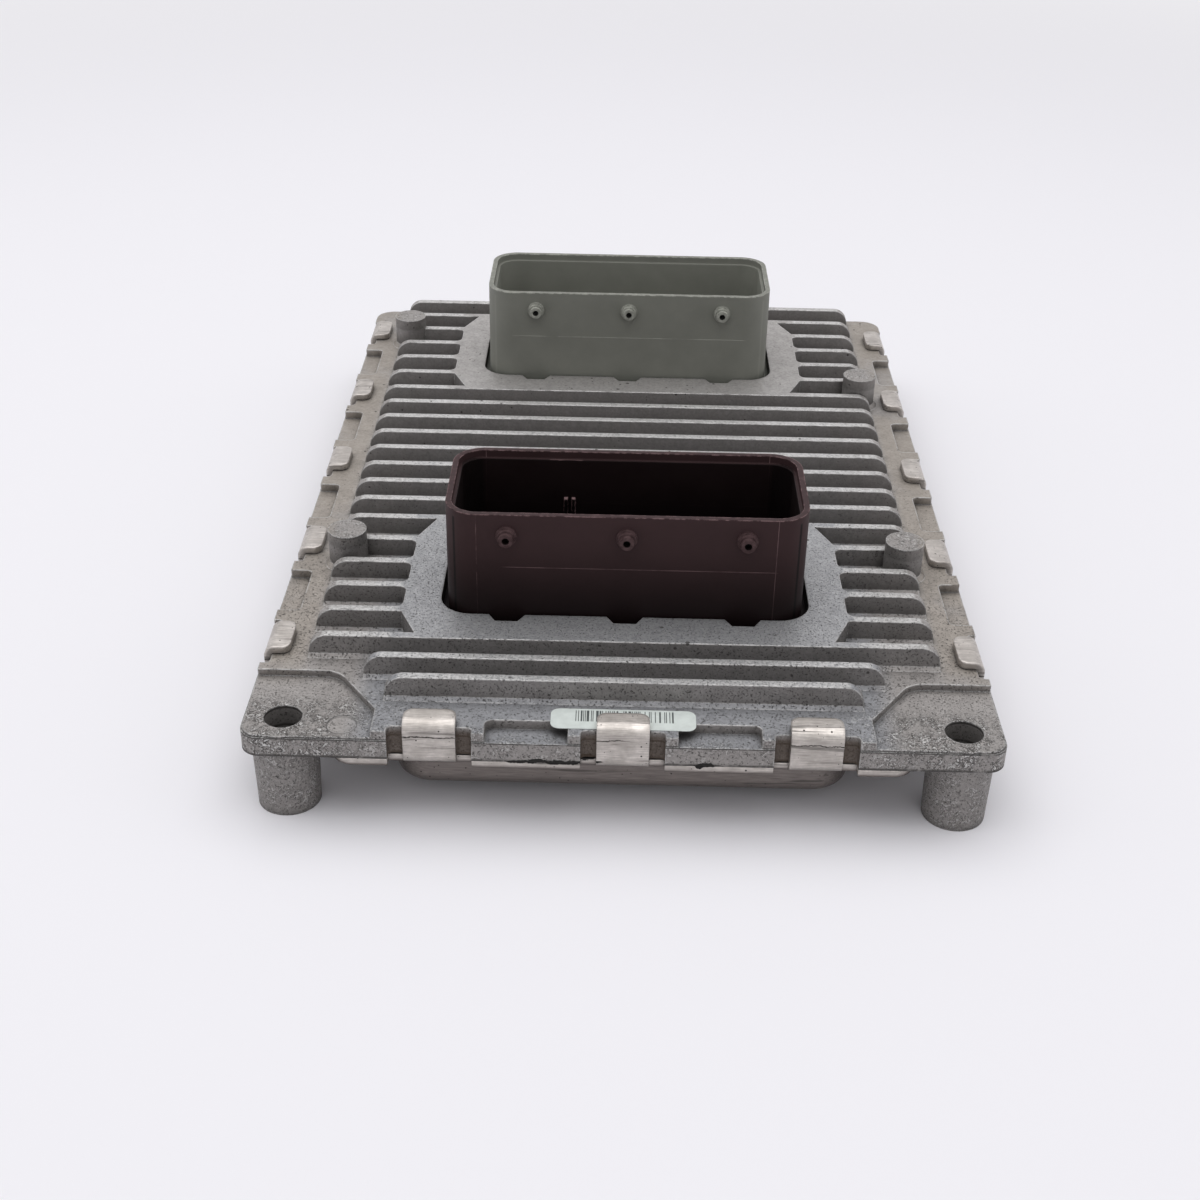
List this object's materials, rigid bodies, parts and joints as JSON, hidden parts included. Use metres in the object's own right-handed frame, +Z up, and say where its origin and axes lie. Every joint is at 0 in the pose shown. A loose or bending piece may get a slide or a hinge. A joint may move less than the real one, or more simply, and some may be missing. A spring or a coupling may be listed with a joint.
{
  "type": "engine control unit",
  "caption": "Finned die-cast box on short feet with two upright oval-cornered plug headers and a crimped sheet cover below",
  "frame": {"origin": "on the floor under the middle of the bounding box", "axes": "+X to the right of the two-foot end, +Y along the length away from that end, +Z up"},
  "size_m": [0.1342, 0.2074, 0.0443],
  "materials": {
    "cast_aluminium": "matt die-cast, pitted",
    "sheet_aluminium": "brushed, worn",
    "sealant": "cured black bead",
    "brown_plastic": "moulded, satin",
    "grey_plastic": "moulded, satin",
    "contact_metal": "tin plated",
    "gasket_rubber": "matt",
    "board_laminate": "solder mask",
    "screw_steel": "zinc plated",
    "chip_resin": "matt",
    "can_metal": "satin",
    "sensor_resin": "matt",
    "thermal_silicone": "soft, matt",
    "ferrite": "matt ferrite",
    "ceramic_body": "matt ceramic",
    "label_film": "satin film"
  },
  "bodies": {
    "root": {"heat_sink_housing": "cast_aluminium", "base_cover": "sheet_aluminium", "perimeter_seal": "sealant", "front_header_shell": "brown_plastic", "rear_header_shell": "grey_plastic", "front_signal_pins": "contact_metal", "front_power_blades": "contact_metal", "rear_signal_pins": "contact_metal", "rear_power_blades": "contact_metal", "front_header_seal": "gasket_rubber", "rear_header_seal": "gasket_rubber", "circuit_board": "board_laminate", "board_screws": "screw_steel", "microcontroller": "chip_resin", "power_manager": "chip_resin", "injector_drivers": "chip_resin", "ignition_transistors": "chip_resin", "quartz_crystal": "can_metal", "pressure_sensor": "sensor_resin", "thermal_pads": "thermal_silicone", "bulk_capacitors": "can_metal", "power_inductor": "ferrite", "voltage_regulator": "chip_resin", "ceramic_capacitors": "ceramic_body", "barcode_label": "label_film"}
  },
  "joints": []
}
